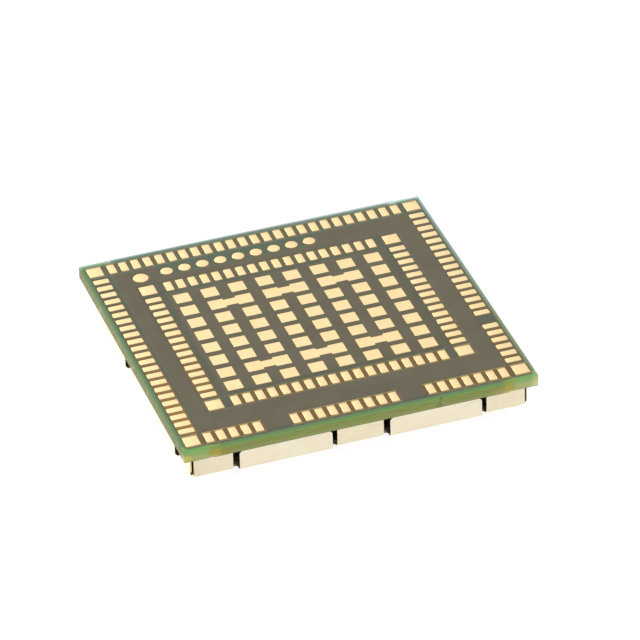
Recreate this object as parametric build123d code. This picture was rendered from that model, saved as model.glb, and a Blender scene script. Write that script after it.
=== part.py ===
from build123d import *
import os

# A cellular and satellite positioning module on a square grid of solder lands, lying on its shield lid.
# Sizes are millimetres. X is the long side, Y the short side, Z points out of the land face.
# The origin is the middle of the lid's outer face.

# Board
board_length = 23.0
board_width = 22.0
board_thickness = 0.8
corner_zone = 1.9
corner_step = 0.05

# Copper and solder mask
copper = 0.035
mask_over_copper = 0.01
component_mask = 0.02
window_clearance = 0.05

# Signal lands: two rings of oblong lands on one pitch
land_pitch = 0.8
land_width = 0.5
land_length = 1.0
edge_to_outer_row = 1.043
edge_to_outer_column = 0.848
outer_end_margin = 1.85
row_to_inner_row = 3.18
column_to_inner_column = 2.471
inner_end_margin = 1.05
near_row_run_counts = (5, 9)
near_row_skip_count = 2
right_column_run_counts = (16,)
right_column_skip_count = 1

# Corner lands
outer_corner_length = 0.95
outer_corner_width = 1.0
edge_to_outer_corner = 0.315
inner_corner_land = 1.0

# Ground lands in the middle, some joined in pairs
ground_land = 1.0
ground_pitch_x = 1.825
ground_pitch_y = 1.475
ground_end_margin = 1.4
ground_bridge = 0.7
ground_plane_border = 0.12

# Round lands, drawn with few sides because there are many of them
round_land_sides = 16
test_land_diameter = 0.8
test_pitch = 1.2
test_count = 9
row_to_test_row = 1.467
pin_one_to_first_test = 1.781
pin_one_diameter = 1.0
inner_row_to_pin_one = 1.533

# Copper pour in the channel between the two rings
pour_gap_left = 0.35
pour_gap_right = 0.12
pour_gap_near = 0.26
pour_gap_far = 0.35
pour_gap_inner = 0.2
pour_gap_test = 0.2
pour_gap_pin_one = 0.15

# Shield: an inner soldered frame and an outer lid, both folded from sheet
shield_height = 1.7
frame_inset = 0.52
frame_sheet = 0.12
frame_bend = 0.2
frame_setback = 0.22
frame_flange = 0.9
lid_clearance = 0.07
lid_sheet = 0.12
lid_bend = 0.32
lid_corner_cut = 0.25
lid_to_board = 0.22
slot_width = 0.36
slot_depth = 0.22
slot_tip_sides = 8
corner_relief = 0.1
front_centre_panel = 3.04
front_corner_panel = 2.53
side_centre_panel = 4.0
side_corner_panel = 2.13
shield_land_width = 0.6

# Packages under the shield: size along X, along Y and height
wall_clearance = 0.25
baseband_size = (8.0, 8.0, 0.9)
memory_size = (8.0, 6.5, 0.8)
power_manager_size = (4.6, 4.6, 0.6)
transceiver_size = (4.6, 4.6, 0.8)
amplifier_size = (3.0, 4.2, 0.8)
antenna_switch_size = (2.4, 2.4, 0.7)
duplexer_size = (1.8, 1.4, 0.7)
receive_filter_size = (1.4, 1.1, 0.5)
satellite_filter_size = (1.4, 1.1, 0.5)
satellite_amplifier_size = (1.1, 0.7, 0.4)
oscillator_size = (2.0, 1.6, 0.7)
crystal_size = (1.6, 1.0, 0.5)
power_inductor_size = (1.2, 2.0, 1.0)
large_chip_size = (0.5, 1.0, 0.5)
small_chip_size = (0.3, 0.6, 0.3)
resistor_size = (0.3, 0.6, 0.23)
can_lid_share = 0.3
can_lid_inset = 0.12
terminal_share = 0.25
terminal_proud = 0.02

# Levels, from the lid's outer face up
board_base = shield_height
board_top = board_base + board_thickness
copper_top = board_top - mask_over_copper
laminate_top = copper_top - copper
laminate_base = board_base + component_mask
frame_base = lid_sheet
frame_reach_x = board_length / 2 - frame_inset
frame_reach_y = board_width / 2 - frame_inset
frame_fold_x = frame_reach_x - frame_bend
frame_fold_y = frame_reach_y - frame_bend
fold_to_lid_fold = frame_bend + lid_clearance + lid_sheet - lid_bend
lid_fold_x = frame_fold_x + fold_to_lid_fold
lid_fold_y = frame_fold_y + fold_to_lid_fold

# Centre lines of the land rings
outer_column = board_length / 2 - edge_to_outer_column
outer_row = board_width / 2 - edge_to_outer_row
inner_column = outer_column - column_to_inner_column
inner_row = outer_row - row_to_inner_row
outer_corner = board_length / 2 - edge_to_outer_corner - outer_corner_length / 2
test_row = outer_row - row_to_test_row
test_row_start = pin_one_to_first_test - inner_column
test_row_end = test_row_start + (test_count - 1) * test_pitch
pin_one_row = inner_row + inner_row_to_pin_one


def evenly(span, pitch):
    """Places on one pitch, centred, as many as a span takes."""
    count = int(span / pitch) + 1
    return [(i - (count - 1) / 2) * pitch for i in range(count)]


def spread(low, high, sizes):
    """Centres of pieces laid in a line with equal gaps between them and at both ends."""
    gap = (high - low - sum(sizes)) / (len(sizes) + 1)
    centres = []
    at = low
    for size in sizes:
        centres.append(at + gap + size / 2)
        at += gap + size
    return centres


def skipped(run_counts, skip_count):
    """Numbers of the places that a row leaves out, a few after each run of lands."""
    numbers = []
    at = 0
    for run_count in run_counts:
        at += run_count
        numbers += range(at, at + skip_count)
        at += skip_count
    return numbers


def rectangles(places, length, width):
    return [Pos(x, y) * Rectangle(length, width) for x, y in places]


def between(x0, x1, y0, y1):
    return Pos((x0 + x1) / 2, (y0 + y1) / 2) * Rectangle(x1 - x0, y1 - y0)


def layer(faces, base, top):
    """Flat pieces of one layer, each a solid of its own."""
    return Pos(0, 0, base) * extrude(Sketch() + faces, amount=top - base)


def corners(x, y):
    return [(i * x, j * y) for i in (-1, 1) for j in (-1, 1)]


def row_places():
    """Rows of the two rings, left to right: the outer ones, with the near row's gaps, and the inner ones."""
    outer = evenly(board_length - 2 * outer_end_margin, land_pitch)
    inner = evenly(2 * (inner_column - inner_end_margin), land_pitch)
    gaps = skipped(near_row_run_counts, near_row_skip_count)
    far = [(x, outer_row) for x in outer]
    near = [(x, -outer_row) for k, x in enumerate(outer) if k not in gaps]
    inside = [(x, side * inner_row) for side in (-1, 1) for x in inner]
    return far + near, inside


def column_places():
    """Columns of the two rings, far to near: the outer ones, with the right one's gap, and the inner ones."""
    outer = evenly(board_width - 2 * outer_end_margin, land_pitch)[::-1]
    inner = evenly(2 * (inner_row - inner_end_margin), land_pitch)
    gaps = skipped(right_column_run_counts, right_column_skip_count)
    left = [(-outer_column, y) for y in outer]
    right = [(outer_column, y) for k, y in enumerate(outer) if k not in gaps]
    inside = [(side * inner_column, y) for side in (-1, 1) for y in inner]
    return left + right, inside


def signal_faces(rows, columns, grow=0.0):
    upright = rectangles(rows, land_width + grow, land_length + grow)
    lying = rectangles(columns, land_length + grow, land_width + grow)
    return upright + lying


def outer_corner_faces(grow=0.0):
    return rectangles(corners(outer_corner, outer_row), outer_corner_length + grow, outer_corner_width + grow)


def inner_corner_faces(grow=0.0):
    return rectangles(corners(inner_column, inner_row), inner_corner_land + grow, inner_corner_land + grow)


def test_faces(grow=0.0):
    run = [test_row_start + k * test_pitch for k in range(test_count)]
    return [Pos(x, test_row) * RegularPolygon((test_land_diameter + grow) / 2, round_land_sides) for x in run]


def pin_one_faces(grow=0.0):
    return [Pos(-inner_column, pin_one_row) * RegularPolygon((pin_one_diameter + grow) / 2, round_land_sides)]


def ground_grid():
    columns = evenly(2 * (inner_column - ground_end_margin), ground_pitch_x)
    rows = evenly(2 * (inner_row - ground_end_margin), ground_pitch_y)
    return columns, rows


def ground_windows():
    """Openings over the ground plane; the second row from each end has its inner lands joined in pairs."""
    columns, rows = ground_grid()
    faces = []
    for r, y in enumerate(rows):
        joined = r in (1, len(rows) - 2)
        c = 0
        while c < len(columns):
            x = columns[c]
            face = Pos(x, y) * Rectangle(ground_land, ground_land)
            if joined and c % 2 == 1 and c + 2 < len(columns):
                bar = Pos(x + ground_pitch_x / 2, y) * Rectangle(ground_pitch_x, ground_bridge)
                face = face + bar + Pos(x + ground_pitch_x, y) * Rectangle(ground_land, ground_land)
                c += 1
            faces.append(face)
            c += 1
    return faces


def ground_plane_faces():
    """Copper under the mask: the plane in the middle and the pour in the channel between the rings."""
    columns, rows = ground_grid()
    half_x = columns[-1] + ground_land / 2 + ground_plane_border
    half_y = rows[-1] + ground_land / 2 + ground_plane_border
    plane = Rectangle(2 * half_x, 2 * half_y)
    inside_x = inner_column + land_length / 2 + pour_gap_inner
    inside_y = inner_row + land_length / 2 + pour_gap_inner
    left = -(outer_column - land_length / 2 - pour_gap_left)
    right = outer_column - land_length / 2 - pour_gap_right
    near = -(outer_row - land_length / 2 - pour_gap_near)
    far = outer_row - land_length / 2 - pour_gap_far
    test_clear = test_land_diameter / 2 + pour_gap_test
    pour = between(left, right, near, far) - Rectangle(2 * inside_x, 2 * inside_y)
    pour -= between(test_row_start - test_clear, test_row_end + test_clear, test_row - test_clear, far)
    pour -= pin_one_faces(2 * pour_gap_pin_one)
    run = evenly(board_length - 2 * outer_end_margin, land_pitch)
    for k in skipped(near_row_run_counts, near_row_skip_count):
        low = run[k] - land_pitch / 2
        pour += between(low, low + land_pitch, -outer_row - land_length / 2, near)
    return [plane, pour]


def outline():
    """The board's outline: its corners lie slightly behind the long edges, where the panel was broken."""
    board = Rectangle(board_length, board_width)
    step_x = board_length / 2 - corner_zone / 2
    step_y = board_width / 2 - corner_step / 2
    return board - rectangles(corners(step_x, step_y), corner_zone, corner_step)


def land_side_mask():
    """The mask fills between the copper and has a window over each land."""
    outer_rows, inner_rows = row_places()
    outer_columns, inner_columns = column_places()
    grow = 2 * window_clearance
    windows = signal_faces(outer_rows + inner_rows, outer_columns + inner_columns, grow)
    windows += outer_corner_faces(grow) + inner_corner_faces(grow)
    windows += test_faces(grow) + pin_one_faces(grow) + ground_windows()
    sheet = Pos(0, 0, laminate_top) * extrude(outline() - windows, amount=board_top - laminate_top)
    return sheet - layer(ground_plane_faces(), laminate_top, copper_top)


def shield_land_face():
    """The ring on the component side that the shield frame is soldered to."""
    middle = frame_sheet / 2
    grown = shield_land_width / 2
    outside = Rectangle(2 * (frame_reach_x - middle + grown), 2 * (frame_reach_y - middle + grown))
    inside = Rectangle(2 * (frame_reach_x - middle - grown), 2 * (frame_reach_y - middle - grown))
    return outside - inside


def folded_wall(fold, low, high, sheet, bend, base, top):
    """A wall bent up from a flat sheet at its fold line, facing +X, from low to high along Y."""
    reach = fold + bend
    centre = (fold, base + bend)
    profile = [
        Line((fold, base), (fold, base + sheet)),
        Line((fold, base + sheet), (reach - sheet, base + bend)),
        Line((reach - sheet, base + bend), (reach - sheet, top)),
        Line((reach - sheet, top), (reach, top)),
        Line((reach, top), (reach, base + bend)),
        CenterArc(centre, bend, -90, 90),
    ]
    section = Plane.XZ * make_face(profile)
    return Pos(0, low, 0) * extrude(section, amount=high - low, dir=(0, 1, 0))


def side_plan():
    """For each side: its turn about Z, fold line and half length, and where its two tabs start and end."""
    short = (frame_fold_x, frame_fold_y, side_centre_panel / 2, frame_fold_y - side_corner_panel)
    long = (frame_fold_y, frame_fold_x, front_centre_panel / 2, frame_fold_x - front_corner_panel)
    return [(0, *short), (90, *long), (180, *short), (270, *long)]


def both_ways(low, high):
    return [(low, high), (-high, -low)]


def shield_frame():
    """The soldered frame: a flat ring with walls where the lid leaves them open."""
    ring = Rectangle(2 * frame_fold_x, 2 * frame_fold_y)
    ring -= Rectangle(2 * (frame_fold_x - frame_flange), 2 * (frame_fold_y - frame_flange))
    walls = []
    for turn, fold, half, gap_low, gap_high in side_plan():
        for low, high in both_ways(gap_low, gap_high):
            ring -= Rot(0, 0, turn) * between(fold - frame_setback, fold, low, high)
        for low, high in both_ways(gap_high, half) + [(-gap_low, gap_low)]:
            wall = folded_wall(fold, low, high, frame_sheet, frame_bend, frame_base, board_base)
            walls.append(Rot(0, 0, turn) * wall)
    relief_height = 2 * (frame_base + frame_bend)
    relief = Rot(0, 0, 45) * Box(corner_relief, corner_relief, relief_height)
    frame = layer([ring], frame_base, frame_base + frame_sheet) + walls
    return frame - [Pos(x, y) * relief for x, y in corners(frame_fold_x, frame_fold_y)]


def tab_relief(fold, edge, low, high):
    """The slit beside a tab, which runs from the sheet's edge over the fold and narrows at its end."""
    end = fold - slot_depth + slot_width / 2
    tip = Pos(end, (low + high) / 2) * RegularPolygon(slot_width / 2, slot_tip_sides, major_radius=False)
    return between(end, edge, low, high) + tip


def shield_lid():
    """The lid: a flat plate with two folded tabs on each side, cut back where the frame's walls show."""
    plate = Rectangle(2 * lid_fold_x, 2 * lid_fold_y)
    tab_top = board_base - lid_to_board
    tabs = []
    for turn, fold, half, gap_low, gap_high in side_plan():
        lid_fold = fold + fold_to_lid_fold
        edge = lid_fold + lid_bend
        cuts = [between(fold, edge, -gap_low, gap_low)]
        cuts += [between(fold, edge, *ends) for ends in both_ways(gap_high, half + lid_bend)]
        cuts += [tab_relief(fold, edge, *ends) for ends in both_ways(gap_low, gap_low + slot_width)]
        cuts += [tab_relief(fold, edge, *ends) for ends in both_ways(gap_high - slot_width, gap_high)]
        plate -= [Rot(0, 0, turn) * cut for cut in cuts]
        for low, high in both_ways(gap_low + slot_width, gap_high - slot_width):
            tab = folded_wall(lid_fold, low, high, lid_sheet, lid_bend, 0, tab_top)
            free_corners = tab.edges().filter_by(Axis.X).group_by(Axis.Z)[-1]
            tabs.append(Rot(0, 0, turn) * chamfer(free_corners, lid_corner_cut))
    for x, y in corners(frame_fold_x, frame_fold_y):
        plate -= Pos(x, y) * Rot(0, 0, 45) * Rectangle(corner_relief, corner_relief)
    return layer([plate], 0, lid_sheet) + tabs


def package(size):
    return Pos(0, 0, -size[2] / 2) * Box(*size)


def can_package(size):
    """A ceramic base with a smaller metal lid."""
    lid_height = size[2] * can_lid_share
    base = package((size[0], size[1], size[2] - lid_height))
    lid = package((size[0] - can_lid_inset, size[1] - can_lid_inset, size[2]))
    return base + lid


def chip(size):
    """A chip part with a slightly larger metal cap on each end."""
    body = package(size)
    cap = package((size[0] + terminal_proud, size[1] * terminal_share, size[2] + terminal_proud))
    offset = size[1] * (1 - terminal_share) / 2
    return body + Pos(0, offset, 0) * cap + Pos(0, -offset, 0) * cap


def populate():
    """The component side, in four columns from left to right; each row lists a node, a shape and a count."""
    processor_column = [
        ("large_capacitors", chip, large_chip_size, 6),
        ("memory_package", package, memory_size, 1),
        ("small_capacitors", chip, small_chip_size, 5),
        ("baseband_processor", package, baseband_size, 1),
        ("small_capacitors", chip, small_chip_size, 5),
    ]
    transceiver_column = [
        ("sleep_crystal", can_package, crystal_size, 1),
        ("reference_oscillator", can_package, oscillator_size, 1),
        ("radio_transceiver", package, transceiver_size, 1),
        ("chip_inductors", package, large_chip_size, 3),
        ("power_manager", package, power_manager_size, 1),
        ("power_inductors", package, power_inductor_size, 3),
    ]
    filter_column = [("receive_filters", package, receive_filter_size, 1)] * 4
    filter_column += [("duplexers", package, duplexer_size, 1)] * 6
    antenna_column = [
        ("high_band_amplifier", package, amplifier_size, 1),
        ("chip_resistors", package, resistor_size, 3),
        ("low_band_amplifier", package, amplifier_size, 1),
        ("chip_inductors", package, large_chip_size, 3),
        ("antenna_switch", package, antenna_switch_size, 1),
        ("satellite_amplifier", package, satellite_amplifier_size, 1),
        ("satellite_filter", package, satellite_filter_size, 1),
    ]
    columns = [processor_column, transceiver_column, filter_column, antenna_column]
    widths = [max(size[0] for _, _, size, _ in rows) for rows in columns]
    free_x = frame_reach_x - frame_sheet - wall_clearance
    free_y = frame_reach_y - frame_sheet - wall_clearance
    placed = {}
    for middle, width, rows in zip(spread(-free_x, free_x, widths), widths, columns):
        heights = [size[1] for _, _, size, _ in rows]
        for y, (node, shape, size, count) in zip(spread(-free_y, free_y, heights), rows):
            for x in spread(middle - width / 2, middle + width / 2, [size[0]] * count):
                placed.setdefault(node, []).append(Pos(x, y, board_base) * shape(size))
    return placed


def modelled():
    """Every piece of the module, by name."""
    outer_rows, inner_rows = row_places()
    outer_columns, inner_columns = column_places()
    laminate = Pos(0, 0, laminate_base) * extrude(outline(), amount=laminate_top - laminate_base)
    component_face = outline() - shield_land_face()
    pieces = {
        "circuit_board": laminate,
        "land_side_mask": land_side_mask(),
        "component_side_mask": layer(component_face.faces(), board_base, laminate_base),
        "shield_land_ring": layer([shield_land_face()], board_base, laminate_base),
        "ground_plane": layer(ground_plane_faces(), laminate_top, copper_top),
        "outer_signal_lands": layer(signal_faces(outer_rows, outer_columns), laminate_top, copper_top),
        "inner_signal_lands": layer(signal_faces(inner_rows, inner_columns), laminate_top, copper_top),
        "outer_corner_lands": layer(outer_corner_faces(), laminate_top, copper_top),
        "inner_corner_lands": layer(inner_corner_faces(), laminate_top, copper_top),
        "test_lands": layer(test_faces(), laminate_top, copper_top),
        "pin_one_land": layer(pin_one_faces(), laminate_top, copper_top),
        "shield_frame": shield_frame(),
        "shield_lid": shield_lid(),
    }
    pieces.update(populate())
    return pieces


os.makedirs("parts", exist_ok=True)
for name, piece in modelled().items():
    solids = piece if isinstance(piece, list) else piece.solids()
    whole = Compound(children=list(solids)) if len(solids) > 1 else solids[0]
    export_step(whole, f"parts/{name}.step")
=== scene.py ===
import math
import random

import bmesh
import bpy
import numpy as np
from mathutils import Matrix, Vector
from mathutils.geometry import delaunay_2d_cdt
from mathutils.kdtree import KDTree


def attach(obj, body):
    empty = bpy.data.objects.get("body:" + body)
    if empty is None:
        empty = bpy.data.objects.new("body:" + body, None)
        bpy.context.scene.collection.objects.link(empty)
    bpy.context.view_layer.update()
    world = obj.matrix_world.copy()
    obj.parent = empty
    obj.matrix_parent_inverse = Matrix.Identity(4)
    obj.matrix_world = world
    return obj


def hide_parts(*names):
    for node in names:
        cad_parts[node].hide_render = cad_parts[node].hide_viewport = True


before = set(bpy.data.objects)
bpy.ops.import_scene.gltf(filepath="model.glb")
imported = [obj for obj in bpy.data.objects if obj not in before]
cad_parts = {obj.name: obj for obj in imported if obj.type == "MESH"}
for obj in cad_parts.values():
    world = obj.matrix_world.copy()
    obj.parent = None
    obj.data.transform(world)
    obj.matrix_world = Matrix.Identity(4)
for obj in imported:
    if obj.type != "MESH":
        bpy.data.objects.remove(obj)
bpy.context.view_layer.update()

# Lengths are millimetres until a mesh is made. X is the board's long side, Y its short side, Z points out of
# the land face, and the shield's lid lies on the floor at Z = 0.
MM = 0.001

# Board
BOARD_X = 23.0
BOARD_Y = 22.0
CORNER_ZONE = 1.9
CORNER_STEP = 0.05
CORNER_RAMP = 0.35
SAW_STEP = 0.16
SAW_DEPTH = 0.007
SAW_SEED = 11
LAYERS = 6
LAYER_INSET = 0.002
LAYER_WANDER = 4e-4
LAYER_SEED = 5

# Levels
BOARD_BASE = 1.7
LAMINATE_BASE = 1.72
LAMINATE_TOP = 2.455
COPPER_TOP = 2.49
MASK_TOP = 2.5
MASK_TOP_OFF_COPPER = 2.482

# Lands: the corner radius of each node's lands, none for round ones, and their turned top edge as the inset
# and the drop of each step
LAND_CORNERS = {
    "outer_signal_lands": 0.085, "inner_signal_lands": 0.085,
    "outer_corner_lands": 0.05, "inner_corner_lands": 0.05,
    "test_lands": None, "pin_one_land": None,
}
LAND_EDGE = ((0.0, 0.013), (0.004, 0.006), (0.011, 0.0015), (0.022, 0.0))

# Solder mask windows
WINDOW_CLEARANCE = 0.05
WINDOW_RIM = 0.045
WINDOW_HALO = 0.13
WINDOW_FADE = 0.22
RIM_DROP = 0.006
GROUND_ROUND = 0.045

# Light from the plated ends of the lands that stand in rows, for the near and for the far row of each node
END_GLINT = {
    "outer_signal_lands": (1.0, 0.87), "inner_signal_lands": (0.8, 0.4),
    "outer_corner_lands": (1.0, 1.0), "inner_corner_lands": (0.8, 0.4),
}
NEAR_END_GLINT = 0.82
SQUARE_WITHIN = 0.1

# Ground lands
GROUND_LAND = 1.0
GROUND_PITCH_X = 1.825
GROUND_PITCH_Y = 1.475
GROUND_COUNT = 8
GROUND_BRIDGE = 0.7
GROUND_BORDER = 0.12
GROUND_WINDOW = 1.02
MASK_SHIFT = (-0.028, -0.012)

# Copper pour under the mask
POUR_LEFT = -9.802
POUR_RIGHT = 10.032
POUR_NEAR = -9.197
POUR_FAR = 9.107
POUR_INSIDE_X = 8.881
POUR_INSIDE_Y = 7.477
TEST_BAND = (-7.0, 3.8)
TEST_BAND_BASE = 7.89
PIN_ONE_CLEAR = 0.15
TONGUES = ((-6.0, -4.4), (2.8, 4.4))
TONGUE_END = -10.457
POUR_SLOPE = 0.15
POUR_ROUND = 0.05
INSIDE_ROUND = 0.1
PLANE_ROUND = 0.08

# Margin of the mask outside the outer lands
MARGIN_WIDTH = 0.34
MARGIN_EDGE = 0.06
MARGIN_INNER_X = BOARD_X / 2 - MARGIN_WIDTH
MARGIN_OUTER_X = BOARD_X / 2 - MARGIN_EDGE
MARGIN_INNER_Y = BOARD_Y / 2 - MARGIN_WIDTH
MARGIN_OUTER_Y = BOARD_Y / 2 - MARGIN_EDGE
MARGIN_CORNER_SHIFT = 0.07
RIM_END = (0.07, -0.04)

# Tones of the mask. WEAVE_RATE and GRID_ZONE hold one value for X and one for Y. The other pairs are where a
# change of tone starts and where it ends, or how far from a place.
WEAVE_RATE = (11.0, 13.5)
GRID_ZONE = (7.6, 6.2)
GRID_FADE = (-0.1, -0.4)
GREEN_BAND = (7.4, 8.2)
NEAR_TO_FAR = (-9.9, 6.8)
MARGIN_NEAR_TO_FAR = (-9.0, 9.0)
LEFT_TO_RIGHT = (-1.0, 1.0)
NEAR_EDGE = (-10.3, -10.5)
CORNER_FADE = (9.3, 9.9)
FAR_STRIP = 10.47
FAR_STRIP_WIDTH = 0.48
FAR_NOTCH_X = 9.6
FAR_NOTCH_REACH = (0.45, 0.1)
FAR_STEP = (9.25, 9.55)
FAR_WIDENING = (-4.0, 9.0)
FAR_EDGE = (10.4, 10.55)
FAR_CORNER = (9.4, 9.8)
RIGHT_EDGE = (11.0, 11.2)
RIGHT_TIP = (11.0, 11.3)
RIGHT_HIGHLIGHT = (11.41, 11.48)
RIGHT_HIGHLIGHT_ALONG = (1.0, 9.0)
NEAR_ROW = (-8.8, -9.2)
LEFT_COLUMNS = (-7.5, -8.0)
RIGHT_COLUMNS = (7.5, 8.0)
COLUMN_END = (9.5, 9.2)

# Tones of the laminate's sides, in the same way. Pairs whose names end in DOWN or UP are heights.
LONG_SIDE = (10.4, 10.9)
BREAK_OFF_X = 9.58
BREAK_OFF_REACH = (0.6, 0.15)
AMBER_X = 9.56
AMBER_Z = 1.88
AMBER_REACH = (0.42, 0.05)
AMBER_FLATNESS = 0.55
HAZE_X = 9.0
HAZE_REACH = (0.9, 0.1)
HAZE_DOWN = (2.25, 1.95)
STAIN_X = 5.1
STAIN_REACH = (0.6, 0.1)
PALE_LAYERS_DOWN = (2.0, 1.76)
FOOT_DOWN = (1.92, 1.76)
GREEN_UP = (2.2, 2.42)
CORNER_EPOXY = (9.6, 10.05)
CORNER_DOWN = (2.35, 1.85)
CORNER_RIGHT = (9.0, 11.0)
YELLOW_TIP = (10.8, 11.4)
YELLOW_TIP_DOWN = (2.35, 2.0)
PALE_TIP = (10.9, 11.4)
PALE_TIP_DOWN = (2.3, 1.8)
LEFT_FACE = (0.02 - BOARD_X / 2, 0.008 - BOARD_X / 2)
LEFT_DOWN = (2.46, 2.2)
LEFT_LOW_DOWN = (2.2, 1.88)
LEFT_NEAR_END = (-10.35, -10.75)
LEFT_NEAR_END_DOWN = (2.3, 2.0)
TOP_LAYER_UP = (LAMINATE_TOP - 0.006, LAMINATE_TOP - 0.002)

# Tones of the painted shade on the sheets' cut ends, at the near left corner, in the same way
CUT_NEAR_END = (-9.5, -9.7)
CUT_LOW_DOWN = (0.5, 0.4)
CUT_WARM_UP = (0.3, 0.5)
CUT_LEFT_WALL = (-10.84, -10.8)
CUT_DARK = (-10.8, -10.5)
CUT_WARM = (-10.5, -10.7)

# Shield
SHEET = 0.12
FRAME_FOLD = (10.78, 10.28)
FRAME_BASE = 0.12
FRAME_BEND = 0.2
FRAME_FLANGE = 0.9
FRAME_SETBACK = 0.22
FRAME_HOLE_ROUND = 0.3
LID_OUTSET = 0.07
LID_BEND = 0.32
TAB_TOP = 1.48
TAB_ROUND = 0.28
SLOT_WIDTH = 0.36
SLOT_DEPTH = 0.22
CORNER_RELIEF = 0.13
CENTRE_PANEL = (4.0, 3.04)
CORNER_PANEL = (2.13, 2.53)
CUT_EDGE = 0.012
BEND_STEPS = 7
BEND_OVERRUN = 0.03
ARC_STEPS = 12

# Tolerances
WELD = 1e-4
MERGE = 1e-7
ON_FOLD = 0.001

# Stage and camera, with their places in metres. The camera comes from a pinhole fit to the land centres.
FLOOR_HALF = 3.0
FLOOR_LEVEL = -0.00002
FLOOR_TONE = 0.82
SEEN_FLOOR_TONE = 0.2
SEEN_FLOOR_GLOW = 0.88
ROOM_GLOW = 0.8
SEEN_ROOM_GLOW = 1.0
CAMERA_PLACE = (-0.089472, -0.278545, 0.20001)
CAMERA_RIGHT = (0.94506028, -0.32582094, -0.02649133)
CAMERA_DOWN = (-0.20320696, -0.52206231, -0.82834647)
CAMERA_AHEAD = (0.2560625, 0.78822056, -0.55958943)
CAMERA_SENSOR_MM = 36.0
CAMERA_LENS_MM = 316.3
CAMERA_SHIFT = (-0.00024, -0.00042)
CAMERA_CLIP = (0.01, 20.0)


# Flat shapes

def turned(points, degrees):
    """Points turned round the origin by whole quarter turns."""
    c, s = round(math.cos(math.radians(degrees))), round(math.sin(math.radians(degrees)))
    return [(c * x - s * y, s * x + c * y) for x, y in points]


def circle(x, y, radius, count=48):
    step = 2 * math.pi / count
    return [(x + radius * math.cos(k * step), y + radius * math.sin(k * step)) for k in range(count)]


def rectangle(x0, y0, x1, y1):
    return [(x0, y0), (x1, y0), (x1, y1), (x0, y1)]


def filleted(points, radius, steps=5):
    """A closed loop with each corner rounded."""
    loop = []
    for k, here in enumerate(points):
        before, after = Vector(points[k - 1]), Vector(points[(k + 1) % len(points)])
        here = Vector(here)
        to_before, to_after = (before - here).normalized(), (after - here).normalized()
        middle = (to_before + to_after).normalized()
        half = math.acos(max(-1, min(1, to_before.dot(to_after)))) / 2
        centre = here + middle * (radius / math.sin(half))
        start = here + to_before * (radius / math.tan(half)) - centre
        end = here + to_after * (radius / math.tan(half)) - centre
        turn = math.atan2(start.x * end.y - start.y * end.x, start.dot(end))
        for i in range(steps + 1):
            a = turn * i / steps
            x = start.x * math.cos(a) - start.y * math.sin(a)
            y = start.x * math.sin(a) + start.y * math.cos(a)
            loop.append((centre.x + x, centre.y + y))
    return loop


def grown(points, distance):
    """A counter-clockwise loop moved outward."""
    p = np.array(points)
    edge = np.roll(p, -1, 0) - p
    edge /= np.linalg.norm(edge, axis=1)[:, None]
    out = np.stack([edge[:, 1], -edge[:, 0]], 1)
    before = np.roll(out, 1, 0)
    corner = out + before
    corner *= (distance / (corner * out).sum(1))[:, None]
    return [tuple(v) for v in p + corner]


def distances(points, loops, spacing=0.02):
    """Distance from each point to the nearest of some closed loops."""
    samples = []
    for loop in loops:
        for (x0, y0), (x1, y1) in zip(loop, loop[1:] + loop[:1]):
            count = max(1, math.ceil(math.hypot(x1 - x0, y1 - y0) / spacing))
            samples += [(x0 + (x1 - x0) * i / count, y0 + (y1 - y0) * i / count, 0) for i in range(count)]
    tree = KDTree(len(samples))
    for k, sample in enumerate(samples):
        tree.insert(sample, k)
    tree.balance()
    return np.array([tree.find((x, y, 0))[2] for x, y in points])


def within(points, loop):
    """Whether each point lies inside a closed loop."""
    x, y = np.array(points).T
    crossed = np.zeros(len(points), bool)
    for (x0, y0), (x1, y1) in zip(loop, loop[1:] + loop[:1]):
        if y0 != y1:
            crossed ^= ((y0 > y) != (y1 > y)) & (x < x0 + (y - y0) * (x1 - x0) / (y1 - y0))
    return crossed


def board_outline():
    """The board's edge as the saw left it: nearly straight, with its corners a step behind."""
    x, y = BOARD_X / 2, BOARD_Y / 2
    step_x, step_y = x - CORNER_ZONE, y - CORNER_STEP
    corners = [(x, -step_y), (x, step_y), (step_x + CORNER_RAMP, step_y), (step_x, y)]
    corners += [(-step_x, y), (-step_x - CORNER_RAMP, step_y)]
    corners += [(-a, -b) for a, b in corners]
    draw = random.Random(SAW_SEED)
    loop = []
    for k, (x0, y0) in enumerate(corners):
        x1, y1 = corners[(k + 1) % len(corners)]
        length = math.hypot(x1 - x0, y1 - y0)
        count = max(1, round(length / SAW_STEP))
        for i in range(count):
            t = i / count
            deep = draw.random() * SAW_DEPTH if 0 < i else 0.0
            inward = ((y0 - y1) / length * deep, (x1 - x0) / length * deep)
            loop.append((x0 + (x1 - x0) * t + inward[0], y0 + (y1 - y0) * t + inward[1]))
    return loop


# Meshes

def piece(name, verts, faces, material, replaced, attributes=None, smooth=25, face_values=None):
    """A mesh object in the row frame that rides on the one body and stands for CAD nodes."""
    mesh = bpy.data.meshes.new(name)
    mesh.from_pydata([(x * MM, y * MM, z * MM) for x, y, z in verts], [], faces)
    for key, values in (attributes or {}).items():
        mesh.attributes.new(key, "FLOAT", "POINT").data.foreach_set("value", np.array(values, np.float32))
    for key, values in (face_values or {}).items():
        mesh.attributes.new(key, "FLOAT", "FACE").data.foreach_set("value", np.array(values, np.float32))
    mesh.polygons.foreach_set("use_smooth", [True] * len(mesh.polygons))
    mesh.set_sharp_from_angle(angle=math.radians(smooth))
    mesh.validate()
    mesh.materials.append(material)
    obj = bpy.data.objects.new(name, mesh)
    bpy.context.scene.collection.objects.link(obj)
    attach(obj, "root")
    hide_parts(*replaced)


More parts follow.
